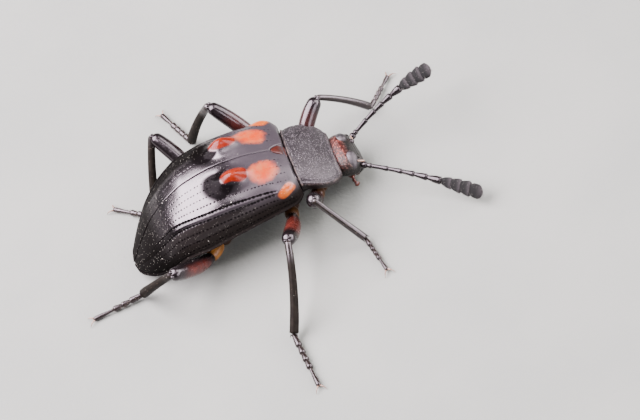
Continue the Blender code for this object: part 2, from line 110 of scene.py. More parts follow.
# Plain shells: dark colour, warm colour, roughness, share of cells with a grain of dust, shine
SHELLS = {
    "belly": ((0.005, 0.0035, 0.0035), (0.05, 0.015, 0.01), 0.35, 0.08, 0.25),
    "scutellum": ((0.014, 0.004, 0.003), (0.03, 0.005, 0.003), 0.3, 0.2, 0.3),
    "mouth": ((0.012, 0.004, 0.003), (0.075, 0.017, 0.009), 0.25, 0.08, 0.5),
    "feeler": ((0.0028, 0.0022, 0.0022), (0.04, 0.015, 0.01), 0.22, 0.03, 0.36),
    "hip": ((0.008, 0.004, 0.0035), (0.18, 0.072, 0.012), 0.34, 0.08, 0.28),
    "thigh": ((0.0028, 0.002, 0.0023), (0.06, 0.0105, 0.0075), 0.2, 0.03, 0.45),
    "foot": ((0.006, 0.004, 0.0033), (0.2, 0.12, 0.09), 0.24, 0.08, 0.5),
}


class Finish:
    """A Principled material, with helpers for patterns measured in millimetres on the object."""

    def __init__(self, name, **values):
        self.material = bpy.data.materials.new(name)
        self.material.use_nodes = True
        self.tree = self.material.node_tree
        self.shader = self.tree.nodes["Principled BSDF"]
        self.fill(self.shader, **values)
        place = self.node("TexCoord").outputs["Object"]
        self.place = self.node("VectorMath", operation="SCALE", in0=place, Scale=1 / MM).outputs[0]

    def fill(self, made, **values):
        """Sets a node's own settings and its inputs, to numbers, colours or other nodes' outputs."""
        for key, value in values.items():
            if hasattr(made, key):
                setattr(made, key, value)
                continue
            numbered = key.startswith("in") and key[2:].isdigit()
            socket = made.inputs[int(key[2:]) if numbered else key.replace("_", " ")]
            if isinstance(value, bpy.types.NodeSocket):
                self.tree.links.new(value, socket)
            else:
                plain = socket.type == "RGBA" and len(value) == 3
                socket.default_value = (*value, 1) if plain else value
        return made

    def node(self, kind, **values):
        return self.fill(self.tree.nodes.new("ShaderNode" + kind), **values)

    def texture(self, kind, **values):
        return self.node("Tex" + kind, Vector=self.place, **values).outputs

    def noise(self, scale, detail=3, roughness=0.5):
        return self.texture("Noise", Scale=scale, Detail=detail, Roughness=roughness)["Fac"]

    def cells(self, scale, randomness=1.0):
        return self.texture("Voronoi", Scale=scale, Randomness=randomness)["Distance"]

    def mark(self, name):
        return self.node("Attribute", attribute_name=name).outputs["Fac"]

    def ramp(self, value, low_edge, high_edge, first=0.0, last=1.0):
        edges = {"From_Min": low_edge, "From_Max": high_edge, "To_Min": first, "To_Max": last}
        return self.node("MapRange", interpolation_type="SMOOTHSTEP", Value=value, **edges).outputs["Result"]

    def math(self, operation, a, b):
        return self.node("Math", operation=operation, in0=a, in1=b).outputs[0]

    def times(self, a, b):
        return self.math("MULTIPLY", a, b)

    def greatest(self, first, *others):
        for other in others:
            first = self.math("MAXIMUM", first, other)
        return first

    def mix(self, share, a, b):
        return self.node("Mix", data_type="RGBA", in0=share, in6=a, in7=b).outputs[2]

    def specks(self, scale, size, share):
        """Small grains, in a share of the cells picked at random."""
        cell = self.texture("Voronoi", Scale=scale)
        chosen = self.math("LESS_THAN", self.node("SeparateColor", Color=cell["Color"]).outputs[0], share)
        return self.times(self.ramp(cell["Distance"], size * 0.6, size, 1, 0), chosen)

    def painted(self, colour, *layers, **values):
        """The material in a colour, with bumps one over another as (height, depth in millimetres)."""
        bumped = {}
        for height, depth in layers:
            bump = self.node("Bump", Height=height, Distance=depth * MM, Strength=1.0, **bumped)
            bumped = {"Normal": bump.outputs["Normal"]}
        self.fill(self.shader, Base_Color=colour, **bumped, **values)
        return self.material


def elytra_finish():
    made = Finish("elytra_shell", Specular_Tint=LILAC)
    satin_and_sheen, side, shaded_rear, knob, pit = (made.mark(key) for key in ("satin_and_sheen", "side", "shaded_rear", "knob", "pit"))
    # Partly satin finish and partly painted sheen: the front third, and the strip between the grooves, are a
    # lighter grey
    colour = made.mix(satin_and_sheen, (0.0022, 0.0017, 0.002), (0.0185, 0.0148, 0.0182))
    # Painted reflection: the lower flank is coloured a dim brown in place of its reflection, and loses almost
    # all its shine
    colour = made.mix(side, colour, (0.0082, 0.0064, 0.006))
    # Painted shade: the rear, and the left wing case down its side behind its knob, are darkened and lose
    # almost all their shine
    colour = made.mix(shaded_rear, colour, (0.0018, 0.0015, 0.0014))
    # Mottled spots, of which the pale patch has a cloudy edge
    mottled = made.ramp(made.noise(2.6, 5, 0.6), 0.35, 0.65)
    cloud = made.ramp(made.noise(3.0, 4, 0.6), 0.25, 0.75, -0.25, 0.25)
    patch = made.ramp(made.math("ADD", made.mark("patch"), cloud), 0.0, 1.05)
    for key, share in {"patch": patch, "shoulder": made.mark("shoulder"), "knob": knob}.items():
        colour = made.mix(share, colour, made.mix(mottled, *SPOT_COLOURS[key]))
    # Painted shade: the punctures and grooves are darker, and below they lose most of their shine
    colour = made.mix(made.ramp(pit, 0.15, 0.7), colour, (0.0022, 0.0018, 0.002))
    # Grains of dust, fewest on the satin, the knob and its hollow
    small, large = made.specks(15, 0.22, 0.34), made.specks(5, 0.12, 0.11)
    small = made.times(small, made.ramp(shaded_rear, 0, 0.4, 0.5, 0.9))
    clean = made.greatest(satin_and_sheen, knob, made.mark("hollow"))
    grains = made.times(made.greatest(small, large), made.ramp(clean, 0, 1, 1, 0.3))
    colour = made.mix(made.times(grains, made.ramp(large, 0, 0.5, 0.4, 0.8)), colour, DUST)
    rubbed = made.ramp(made.noise(2.2, 5), 0.45, 0.8, 0, 0.07)
    rubbed = made.math("ADD", made.ramp(satin_and_sheen, 0, 1, 0.2, 0.36), rubbed)
    quiet = made.greatest(side, shaded_rear)
    rough = made.greatest(rubbed, made.times(grains, 0.8), made.times(quiet, 0.55))
    lost = made.greatest(*(made.times(made.mark(key), loss) for key, loss in SHINE_LOSS.items()))
    shine = made.times(made.ramp(quiet, 0, 1, 0.85, 0.02), made.ramp(lost, 0, 1, 1, 0.02))
    shine = made.times(made.ramp(pit, 0.03, 0.4, 1, 0.08), shine)
    bumps = (made.cells(38), 0.0004), (made.noise(9), 0.0008), (grains, 0.003)
    return made.painted(colour, *bumps, Roughness=rough, Specular_IOR_Level=shine)


def pronotum_finish():
    made = Finish("pronotum_grain", Roughness=0.42, Specular_IOR_Level=0.44, Specular_Tint=LILAC)
    light = made.ramp(made.cells(15), 0.13, 0.38, 1, 0)
    colour = made.mix(light, (0.0025, 0.002, 0.0024), (0.125, 0.104, 0.12))
    colour = made.mix(made.ramp(made.noise(1.3), 0.35, 0.7, 0, 0.25), colour, (0.03, 0.027, 0.029))
    dusty = made.greatest(made.specks(15, 0.25, 0.12), made.specks(8, 0.13, 0.08))
    colour = made.mix(made.times(dusty, 0.38), colour, DUST)
    # Pale wear and dust along the plate's edges, with a painted highlight on the rear bead
    wear_and_sheen = made.times(made.mark("rim"), made.ramp(made.noise(5), 0.42, 0.6, 0.1, 0.8))
    colour = made.mix(wear_and_sheen, colour, (0.13, 0.09, 0.082))
    colour = made.mix(made.mark("flank"), colour, (0.01, 0.007, 0.0065))
    return made.painted(colour, (light, 0.019), (made.noise(34, 2), 0.006))


def head_finish():
    made = Finish("head_grain", Roughness=0.36, Specular_IOR_Level=0.27)
    grain = made.ramp(made.cells(14), 0.15, 0.5, 1, 0)
    warm = made.mix(grain, (0.022, 0.0036, 0.003), (0.19, 0.042, 0.03))
    cool = made.mix(grain, (0.0024, 0.0018, 0.0018), (0.018, 0.0128, 0.0108))
    colour = made.mix(made.mark("warm"), cool, warm)
    # Pale specks, partly dust and partly painted glints
    colour = made.mix(made.times(made.specks(14, 0.2, 0.12), 0.5), colour, (0.4, 0.28, 0.24))
    return made.painted(colour, (grain, 0.008), (made.noise(30, 2), 0.004))


def eye_finish():
    made = Finish("eye_facets", Roughness=0.38, Specular_IOR_Level=0.55, Specular_Tint=LILAC)
    facet = made.cells(27, randomness=0.12)
    colour = made.mix(made.ramp(facet, 0.2, 0.6), (0.014, 0.0125, 0.0145), (0.004, 0.0035, 0.004))
    return made.painted(colour, (facet, -0.012))


def shell_finish(name, dark, warm, roughness, dust, shine):
    """Glossy chitin with fine punctures, which turns from dark to warm where the mesh is marked warm."""
    made = Finish(name, Specular_IOR_Level=shine, Specular_Tint=LILAC)
    deeper = tuple(0.55 * w + 0.45 * d for w, d in zip(warm, dark))
    mottled = made.mix(made.ramp(made.noise(3.5, 4), 0.35, 0.7), warm, deeper)
    grains = made.specks(9, 0.15, dust)
    colour = made.mix(made.times(grains, 0.7), made.mix(made.mark("warm"), dark, mottled), DUST)
    rubbed = made.ramp(made.noise(6, 4), 0.4, 0.75, roughness, roughness + 0.1)
    rough = made.greatest(rubbed, made.times(grains, 0.8))
    return made.painted(colour, (made.cells(28), 0.001), (made.noise(8, 2), 0.0015), Roughness=rough)


def shin_finish():
    """Dull black chitin that shines where the mesh is marked warm."""
    made = Finish("shin_shell", Specular_Tint=LILAC)
    dark = made.mix(made.ramp(made.noise(5, 4), 0.35, 0.7), (0.0045, 0.0036, 0.003), (0.0085, 0.0068, 0.0054))
    colour = made.mix(made.times(made.specks(9, 0.14, 0.05), 0.5), dark, DUST)
    rough, shine = (made.ramp(made.mark("warm"), 0, 1, *ends) for ends in ((0.5, 0.2), (0.03, 0.5)))
    bumps = (made.cells(28), 0.0015), (made.noise(8, 2), 0.0015)
    return made.painted(colour, *bumps, Roughness=rough, Specular_IOR_Level=shine)


def club_finish():
    made = Finish("club_down", Roughness=0.85, Specular_IOR_Level=0.2, Sheen_Weight=0.02, Sheen_Roughness=0.4)
    grain = made.noise(40)
    dark = made.mix(made.ramp(grain, 0.35, 0.7), (0.0012, 0.001, 0.0012), (0.003, 0.0025, 0.0028))
    pale = made.mix(made.ramp(grain, 0.3, 0.7), (0.012, 0.0098, 0.0112), (0.038, 0.032, 0.0355))
    return made.painted(made.mix(made.mark("warm"), dark, pale), (grain, 0.012), (made.cells(45), 0.006))


def hair_finish(name, colour):
    made = Finish(name, Roughness=0.45, Specular_IOR_Level=0.4)
    return made.painted(made.mix(made.noise(20, 2), colour, tuple(0.6 * c for c in colour)))


def floor_finish():
    made = Finish("pale_floor", Roughness=0.75, Specular_IOR_Level=0.2)
    colour = made.mix(made.ramp(made.noise(0.12, 4), 0.3, 0.7), (0.15, 0.154, 0.145), (0.167, 0.169, 0.158))
    return made.painted(colour, (made.noise(6), 0.02))


# Meshes

ANY_WAY = (0.13, 0.21, 1.0)  # where the rings of a swept body start if nothing else is asked


def tube_faces(first, rows, columns):
    """Faces of a closed body made of rows of rings, from the number of its first point."""
    index = first + np.arange(rows * columns).reshape(rows, columns)
    ahead = np.roll(index, -1, axis=1)
    quads = np.stack([index[:-1], ahead[:-1], ahead[1:], index[1:]], axis=2).reshape(-1, 4)
    return quads.tolist() + [index[0].tolist(), index[-1].tolist()]


def put(name, data):
    made = bpy.data.objects.new(name, data)
    bpy.context.scene.collection.objects.link(made)
    return made


def add_piece(name, bodies, material, slot, replaced=(), **marks):
    """Makes one smooth mesh of closed bodies, and hides the solids it stands for. A body is rings of points,
    with how warm it is at each."""
    points, faces, warm = [], [], []
    for rings, warmth in bodies:
        faces += tube_faces(len(points), *rings.shape[:2])
        points += rings.reshape(-1, 3).tolist()
        warm += np.broadcast_to(warmth, rings.shape[:2]).ravel().tolist()
    mesh = bpy.data.meshes.new(name)
    mesh.from_pydata(points, [], faces)
    mesh.transform(TO_ROW)
    shape = bmesh.new()
    shape.from_mesh(mesh)
    bmesh.ops.recalc_face_normals(shape, faces=shape.faces)
    shape.to_mesh(mesh)
    shape.free()
    mesh.shade_smooth()
    for key, values in {"warm": warm, **marks}.items():
        values = np.asarray(values, np.float32).ravel()
        mesh.attributes.new(key, "FLOAT", "POINT").data.foreach_set("value", values)
    mesh.materials.append(material)
    piece = put(name, mesh)
    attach(piece, "root")
    if replaced:
        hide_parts(*replaced)


def sheet(x, y, z):
    """A grid of points from their coordinates."""
    return np.stack(np.broadcast_arrays(x, y, z), axis=2)


def circle(count):
    return np.linspace(0, 2 * np.pi, count, endpoint=False)


def both_halves(half, mirror=1):
    """Columns down one side of the body, then up the other."""
    return np.concatenate([half, half[:, -2:0:-1] * mirror], axis=1)


def upward_normals(grid, column):
    """Unit normals of a grid, turned so that the one halfway along a column points up."""
    across = np.cross(np.gradient(grid, axis=0), np.gradient(grid, axis=1))
    normal = across / np.maximum(np.linalg.norm(across, axis=2, keepdims=True), 1e-9)
    return normal * np.where(normal[len(grid) // 2, column, 2] < 0, -1, 1)


def graininess(grid, scale):
    """Random heights, about -1 to 1, at a grid of points."""
    return np.array([noise.noise(Vector(p) * scale) for p in grid.reshape(-1, 3)]).reshape(grid.shape[:2])


def sweep(path, radii, across=ANY_WAY, flatten=1.0, sides=20, ridges=0, ridge_depth=0.0):
    """Rings of points round a path. Flatten squashes them one way; ridges run lengthwise."""
    path = np.asarray(path, float)
    ahead = np.gradient(path, axis=0)
    ahead /= np.linalg.norm(ahead, axis=1, keepdims=True)
    start = np.asarray(across, float)
    angles = circle(sides)
    rings = []
    for place, way, radius in zip(path, ahead, radii):
        start = unit(start - way * (start @ way))
        other = np.cross(way, start)
        swell = radius * (1 + ridge_depth * np.cos(ridges * angles))
        spokes = np.outer(np.cos(angles) * swell, start) + np.outer(np.sin(angles) * swell * flatten, other)
        rings.append(place + spokes)
    return np.array(rings)


def moved(grid, matrix):
    """Grid points carried by a 4 x 4 matrix."""
    matrix = np.array(matrix)
    return grid @ matrix[:3, :3].T + matrix[:3, 3]


def arc(start, bend, end, steps):
    a, b, c = (np.asarray(p, float) for p in (start, bend, end))
    t = np.linspace(0, 1, steps)[:, None]
    return a * (1 - t) ** 2 + b * 2 * t * (1 - t) + c * t * t


def distances(path):
    """How far along a path each of its points lies."""
    return np.concatenate(([0], np.cumsum(np.linalg.norm(np.diff(path, axis=0), axis=1))))


def resampled(path, steps):
    """The same path with its points evenly spaced."""
    length = distances(path)
    even = np.linspace(0, length[-1], steps)
    return np.column_stack([np.interp(even, length, column) for column in path.T])


def unit(way):
    return way / np.linalg.norm(way)


def rounded(radii, places, front, back, least=0.003):
    """Radii at places along a limb joint, from a few at even steps, with domed ends some radii long."""
    length = places[-1]
    profile = np.interp(places / length, np.linspace(0, 1, len(radii)), radii)
    return profile * dome(places, radii[0] * front, least) * dome(length - places, radii[-1] * back, least)


def bead(start, end, radii, across=ANY_WAY, flatten=1.0, sides=18, steps=14, front=0.8, back=0.8):
    """One joint of a limb as a closed, round-ended body."""
    start, end = np.asarray(start, float), np.asarray(end, float)
    eased = 0.5 - 0.5 * np.cos(np.linspace(0, 1, steps) * np.pi)
    profile = rounded(radii, eased * np.linalg.norm(end - start), front, back, 0.01)
    return sweep(start + np.outer(eased, end - start), profile, across, flatten, sides)


# Wing cases, with tables of (x, value) along the body

ELYTRA_LENGTH = 8.0
ELYTRA_TOP = ((0, 3.25), (-0.7, 3.62), (-2.0, 4.02), (-3.2, 4.12), (-4.4, 3.94), (-5.4, 3.48), (-6.4, 2.7),
              (-7.1, 1.85), (-7.6, 1.12), (-8.0, 0.5))
ELYTRA_HALF_WIDTH = (
    (0, 1.75), (-0.4, 2.1), (-1.5, 2.22), (-3.0, 2.32), (-4.5, 2.36), (-5.5, 2.18), (-6.4, 1.88),
    (-7.1, 1.46), (-7.6, 1.02), (-7.88, 0.62), (-8.0, 0.1))
ELYTRA_MARGIN = ((0, 2.1), (-1.5, 2.1), (-3.0, 2.06), (-4.4, 1.96), (-5.5, 1.76), (-6.5, 1.1), (-7.3, 0.6),
                 (-8.0, 0.35))
ARCH_POWER = ((0, 3.0), (-2.5, 2.7), (-5.0, 2.35))
SHELL_THICKNESS = 0.22
HALF_GAP = 0.006  # half the gap at the suture
EDGE_ROLL = 0.1
FOLD_WIDTH, FOLD_DROP = 0.3, 0.05  # the rim folded in below the margin

STATIONS, ARC_STEPS, CURVE_STEPS = 480, 240, 240
# The two grooves, as (x, share of the arch from the suture to the margin), and the rows of punctures
STRIA_FIVE = ((-0.2, 0.7), (-0.64, 0.669), (-1.36, 0.615), (-2.14, 0.585), (-3.06, 0.555), (-3.98, 0.528),
              (-4.68, 0.498), (-5.52, 0.458), (-8.0, 0.42))
STRIA_SIX = ((-0.2, 0.72), (-1.0, 0.675), (-2.02, 0.659), (-2.94, 0.635), (-3.88, 0.609), (-5.3, 0.559),
             (-8.0, 0.53))
ROW_COUNT = 9
PIT_SPACING, PIT_RADIUS, PIT_DEPTH = 0.165, 0.021, 0.02
PIT_SIZES = {5: 1.7, 6: 1.7, 7: 1.35, 8: 1.35, 9: 1.35}  # by row, where it isn't 1
PIT_SEED = 11
GROOVE_SHARES = {5: 1.0, 6: 0.6}  # how deep a groove the row lies in
GROOVE_DEPTH, GROOVE_HALF_WIDTH, GROOVE_MARK_WIDTH = 0.03, 0.028, 0.04
STRIP_HEIGHT, LEDGE_HEIGHT = 0.05, 0.03
KNOB, KNOB_HEIGHT, KNOB_FRONT, KNOB_REAR, KNOB_SIDE = (-2.42, 0.92), 0.4, 0.74, 0.66, 0.42
KNOB_FALL = 0.82  # where the knob has fallen to 0.37 of its height, as a share of its reach
# Bells as (centre, width, height), over the distance from the knob, the suture and the margin
HOLLOW, SEAM, RIM, RIM_TROUGH = (1.5, 0.5, 0.04), (0, 0.022, 0.035), (0.05, 0.05, 0.05), (0.17, 0.06, 0.03)
# Places as (x, distance from the suture along the arch)
SHOULDER, SHOULDER_TURN = (-0.62, 2.08), math.radians(-37)
CALLUS_LENGTH, CALLUS_WIDTH, CALLUS_HEIGHT = 0.6, 0.34, 0.2
SPOT_LENGTH, SPOT_WIDTH = 0.46, 0.19
SPOT_SHIFT = {"left": 0.14, "right": 0.0}  # the left shoulder's spot reaches further up
PATCH, PATCH_TURN, PATCH_LENGTH, PATCH_WIDTH = (-1.18, 1.04), math.radians(-24), 0.66, 0.5
REAR_SHADE = {"left": 0.97, "right": 0.0}  # painted shade: the left one is darker and nearly without shine down its side behind its knob, where it looks black
SHIELD_SEAT = 0.08  # how deep the scutellum lies in the wing cases


def arch(x, shares, inset=0.0):
    """Points of the back's arch at stations x, at shares of its length from the midline to the margin."""
    angles = np.linspace(0, np.pi / 2, CURVE_STEPS)
    power = 2 / between(ARCH_POWER, x)
    half_width = np.maximum(between(ELYTRA_HALF_WIDTH, x) - inset, 0.02)
    margin = between(ELYTRA_MARGIN, x)
    rise = np.maximum(between(ELYTRA_TOP, x) - inset - margin, 0.02)
    points, lengths = [], []
    for k in range(len(x)):
        y = half_width[k] * np.sin(angles) ** power[k]
        z = margin[k] + rise[k] * np.cos(angles).clip(0) ** power[k]
        length = distances(np.column_stack([y, z]))
        at = shares * length[-1]
        points.append(np.column_stack([0 * at + x[k], np.interp(at, length, y), np.interp(at, length, z)]))
        lengths.append(length[-1])
    return np.array(points), np.array(lengths)


def stria_share(row, x):
    """Where a row of punctures runs, as a share of the arch from the suture to the margin."""
    fifth, sixth = between(STRIA_FIVE, x), between(STRIA_SIX, x)
    if row <= 5:
        return fifth * row / 5 + 0.012 * (5 - row)
    return sixth + (row - 6) / (ROW_COUNT - 5) * (1 - sixth)


def relief(x, arc_place, arc_total, length_place):
    """Depth of grooves and punctures over a grid of places on a wing case, and how far each lies in one,
    which sets the shade painted there.
    """
    random = np.random.default_rng(PIT_SEED)
    depth, marks = np.zeros_like(arc_place), np.zeros_like(arc_place)
    fade = ease(-7.2, -5.4, x)
    front = ease(-0.15, -0.5, x)
    count = int(length_place[-1] / PIT_SPACING) + 2
    for row in range(1, ROW_COUNT + 1):
        off = arc_place - (stria_share(row, x) * arc_total)[:, None]
        deep = (GROOVE_SHARES.get(row, 0.0) * fade * front)[:, None]
        size = PIT_SIZES.get(row, 1.0)
        wander = random.uniform(-0.2, 0.2, count)
        sink = random.uniform(0.55, 1.2, count) * size
        place = length_place / PIT_SPACING + random.uniform(0, 1)
        nearest = np.clip(np.round(place).astype(int), 0, count - 1)
        along = (place - nearest - wander[nearest]) * PIT_SPACING
        radius = PIT_RADIUS * size
        far = (off / radius) ** 2 + (along[:, None] / (radius * 1.25)) ** 2
        strength = (sink[nearest] * (0.1 + 0.9 * fade) * front)[:, None]
        depth += GROOVE_DEPTH * deep * bell(off, 0, GROOVE_HALF_WIDTH) + PIT_DEPTH * strength * np.exp(-far)
        # Painted shade fills each groove and each puncture
        groove_shade = 0.45 * deep * bell(off, 0, GROOVE_MARK_WIDTH)
        marks = np.maximum(marks, np.maximum(np.exp(-far / 1.6) * strength, groove_shade))
    return depth, np.clip(marks, 0, 1)


def turned(x, y, place, angle):
    """Coordinates about a place, along and across a direction."""
    dx, dy = x - place[0], y - place[1]
    return dx * math.cos(angle) + dy * math.sin(angle), dy * math.cos(angle) - dx * math.sin(angle)


def make_elytron(name, side, material):
    # Stations along the wing case, closest together on the rolled front edge and at the tip
    steps = np.sin(np.linspace(0, np.pi / 2, STATIONS)) ** 0.97
    x = np.concatenate([np.linspace(0, -EDGE_ROLL, 9)[:-1], -EDGE_ROLL - (ELYTRA_LENGTH - EDGE_ROLL) * steps])
    shares = np.linspace(0, 1, ARC_STEPS)
    outer, total = arch(x, shares)
    inner, _ = arch(x, np.linspace(1, 0, 26), SHELL_THICKNESS)
    long_x, base_y = outer[:, :, 0].copy(), outer[:, :, 1].copy()
    half_width = between(ELYTRA_HALF_WIDTH, x)[:, None]
    for points in (outer, inner):
        points[:, :, 1] = HALF_GAP + points[:, :, 1] * (1 - HALF_GAP / np.maximum(half_width, 0.1))
    length_place = distances(outer[:, 0])
    arc_place = shares * total[:, None]
    normal = upward_normals(outer, ARC_STEPS // 3)

    # The knob is flat-topped and steep, with a hollow round its rear and its outer side
    reach = np.where(long_x < KNOB[0], KNOB_REAR, KNOB_FRONT)
    dx, dy = (long_x - KNOB[0]) / reach, (base_y - KNOB[1]) / KNOB_SIDE
    far = np.hypot(dx, dy)
    rearward, outward = -dx / np.maximum(far, 0.05), dy / np.maximum(far, 0.05)
    hollow = ease(-0.4, 0.5, 0.85 * rearward + 0.5 * outward) * bell(far, *HOLLOW)
    along, across = turned(long_x, arc_place, SHOULDER, SHOULDER_TURN)
    callus = bell(along, 0, CALLUS_LENGTH) * bell(across, 0, CALLUS_WIDTH)
    # The strip between the two grooves swells, and the shell rises to the edge of the first of them
    fourth, fifth, sixth = ((stria_share(row, x) * total)[:, None] for row in (4, 5, 6))
    strip = bell(arc_place, (fifth + sixth) / 2, np.maximum(0.42 * (sixth - fifth), 0.05))
    ledge = np.clip((arc_place - fourth) / np.maximum(fifth - 0.03 - fourth, 0.02), 0, 1) ** 1.5
    ledge *= ease(0.03, -0.03, arc_place - fifth)
    swell = STRIP_HEIGHT * strip + LEDGE_HEIGHT * ledge
    swell *= (ease(-0.6, -2.0, x) * ease(-6.6, -5.2, x))[:, None]
    lift = KNOB_HEIGHT * bell(far, 0, KNOB_FALL) - hollow + CALLUS_HEIGHT * callus + swell

    depth, pits = relief(x, arc_place, total, length_place)
    smooth = (1 - ease(1.9, 1.2, far)) * (1 - ease(0.25, 0.6, callus))
    depth, pits = depth * smooth, pits * smooth
    # The suture is a fine seam, the side margin a raised bead, and the front edge is rolled down
    edge = total[:, None] - arc_place
    rim = bell(edge, *RIM) - bell(edge, *RIM_TROUGH) - bell(arc_place, *SEAM)
    roll = EDGE_ROLL * (1 - dome(-x, EDGE_ROLL))[:, None]
    shield = SHIELD_SEAT * ease(0.06, 0.0, base_y - shield_half_width(long_x))
    outer += normal * (rim + lift - depth - roll - shield)[:, :, None]
    outer[:, :, 1] = np.maximum(outer[:, :, 1], HALF_GAP)

    fold = sheet(0, -np.minimum(FOLD_WIDTH, 0.5 * half_width), -FOLD_DROP)
    lip = outer[:, -1:] + np.linspace(0.15, 1, 6)[:, None] * fold
    grid = np.concatenate([outer, lip, inner[:, 2:]], axis=1)
    tip = grid[-1].mean(axis=0)
    grid[-1] = tip + (grid[-1] - tip) * 0.02

    # Colour masks
    share = arc_place / total[:, None]
    past_fifth, past_sixth = (ease(-0.01, 0.02, share - stria_share(row, x)[:, None]) for row in (5, 6))
    # The pale patch slants: its front end lies nearer the suture
    patch_x, patch_v = turned(long_x, arc_place, PATCH, PATCH_TURN)
    disc = 1.4 - np.abs(patch_x / PATCH_LENGTH) ** 2.2 - np.abs(patch_v / PATCH_WIDTH) ** 2.2
    pits = pits * (1 - 0.6 * ease(0.2, 0.8, disc))
    shift = SPOT_SHIFT[name]
    spot_across = (across + shift) / (SPOT_WIDTH + 0.5 * shift)
    shoulder = ease(0.3, 0.7, np.exp(-np.abs(along / SPOT_LENGTH) ** 3 - np.abs(spot_across) ** 3))
    # The red reaches less far down the knob's outer slope than down its inner one
    down = np.where(base_y > KNOB[1] + 0.02, 0.22 + 0.13 * ease(-0.3, 0.5, dx), 0.33)
    glow_x, glow_y = (long_x - KNOB[0] - 0.05) / 0.6, (base_y - KNOB[1] - 0.02) / down
    glow = ease(0.3, 0.55, np.exp(-np.abs(glow_x) ** 2.8 - np.abs(glow_y) ** 2.8))
    # The satin front is partly a real satin finish and partly painted sheen; the strip between the grooves
    # gets the same
    satin_and_sheen = ease(-2.9, -1.7, long_x) * (1 - 0.9 * glow)
    satin_and_sheen = np.maximum(satin_and_sheen, 0.7 * past_fifth * (1 - past_sixth) * ease(-5.6, -4.4, long_x))
    # Painted shade: a dark zone round the knob's rear and outer side, reaching furthest behind it, loses its
    # lighter satin colour and all its shine
    around = ease(-0.1, 0.25, 0.95 * rearward + 0.3 * outward)
    limit = 1.2 + 1.3 * ease(0.1, 0.7, rearward) - 0.5 * ease(0.5, 0.9, -outward)
    dark = around * ease(0, -0.6, far - limit) * ease(0.7, 0.95, far)
    # Painted shade down the left wing case's side behind its knob
    shaded = REAR_SHADE[name] * ease(0.13, 0.34, share) * ease(-2.7, -3.5, long_x)
    masks = {
        "patch": disc,
        "shoulder": shoulder,
        "knob": glow,
        "satin_and_sheen": satin_and_sheen * (1 - 0.8 * shoulder) * (1 - dark),
        "pit": pits,
        # The lower flank, with a painted reflection
        "side": np.maximum(ease(0.6, 0.85, share), 0.7 * past_sixth * ease(-1.2, -4.0, long_x)),
        "band": past_fifth * (1 - past_sixth),
        # Painted shade over the rear and behind the left knob
        "shaded_rear": np.maximum(ease(-4.9, -7.0, long_x), shaded),
        "hollow": dark,
    }
    grid[:, :, 1] *= side
    unmarked = ((0, 0), (0, grid.shape[1] - ARC_STEPS))
    add_piece("wing_case_" + name, [(grid, 0)], material, "wing_case", ["elytron_" + name],
              **{key: np.pad(mask, unmarked) for key, mask in masks.items()})


# Scutellum, belly and chest

SHIELD_LENGTH, SHIELD_HALF_WIDTH = 0.56, 0.27
SHIELD_RISE, SHIELD_KEEL = 0.06, 0.2
BELLY = ((0, 1.15), (-1.0, 0.95), (-3.0, 0.85), (-5.0, 0.78), (-6.5, 0.5), (-8.0, 0.2))
BELLY_INSET = 0.42
CHEST_SEAMS, BELLY_SEAMS = (-0.9, -3.2), (-4.15, -4.95, -5.7, -6.35, -6.95)
CHEST_SEAM_WIDTH, BELLY_SEAM_WIDTH, SEAM_HEIGHT = 0.05, 0.045, 0.06


def shield_half_width(x):
    """Half the scutellum's width at places along the body, below zero past its end."""
    share = np.clip(-x / SHIELD_LENGTH, 0, 1.4)
    return np.where(share < 1, SHIELD_HALF_WIDTH * (1 - share.clip(0, 1) ** 1.7) ** 0.6, -0.3)


def make_scutellum(material):
    x = np.linspace(-0.02, -SHIELD_LENGTH + 0.004, 44)
    half = shield_half_width(x)[:, None] + 0.01
    turn = circle(48)
    rise = np.where(np.sin(turn) > 0, SHIELD_RISE, SHIELD_KEEL) * (half / (SHIELD_HALF_WIDTH + 0.01)) ** 0.5
    z = between(ELYTRA_TOP, x)[:, None] - 0.045 + rise * signed_power(np.sin(turn), 0.8)
    z -= 0.2 * ease(-0.25, 0.0, x)[:, None]
    rings = sheet(x[:, None], half * np.cos(turn), z)
    add_piece("scutellum_shield", [(rings, 1)], material, "scutellum", ["scutellum"])


def make_belly(material):
    """The chest plate and the five belly plates."""
    x = np.linspace(0.16, -7.6, 200)
    top, _ = arch(x, np.linspace(0, 1, 30), BELLY_INSET)
    width, margin = top[:, -1, 1], between(ELYTRA_MARGIN, x)
    depth = margin - between(BELLY, x)
    angles = np.linspace(0, np.pi / 2, 60)[1:]
    low_y = width[:, None] * np.cos(angles) ** 0.8
    low_z = margin[:, None] - depth[:, None] * np.sin(angles) ** 0.8
    seams = sum(bell(x, at, BELLY_SEAM_WIDTH) for at in BELLY_SEAMS)
    sunk = SEAM_HEIGHT * (seams + sum(bell(x, at, CHEST_SEAM_WIDTH) for at in CHEST_SEAMS))[:, None]
    middle = bell(low_y, 0, 0.05) * ease(-3.4, -3.0, x)[:, None]
    lower = sheet(x[:, None], low_y * (1 - 0.25 * sunk), low_z + sunk + 0.05 * middle)
    grid = both_halves(np.concatenate([top, lower], axis=1), (1, -1, 1))
    add_piece("belly_and_chest", [(grid, 0)], material, "belly", ["hindbody"])


# Pronotum and head

PRONOTUM_TOP = ((0.1, 3.0), (0.6, 2.78), (1.2, 2.36), (1.74, 1.9))
PRONOTUM_EDGE = ((0.1, 2.45), (0.6, 2.28), (1.2, 1.95), (1.74, 1.58))
PRONOTUM_HALF_WIDTH = ((0.1, 1.58), (0.5, 1.7), (0.9, 1.74), (1.3, 1.63), (1.6, 1.38), (1.74, 1.1))
PROSTERNUM = ((0.1, 1.2), (0.6, 1.0), (1.2, 0.88), (1.74, 0.8))
PLATE_POWER, PLATE_LEDGE, PLATE_THICKNESS = 2.2, 0.13, 0.12
PLATE_ROLL = 0.06
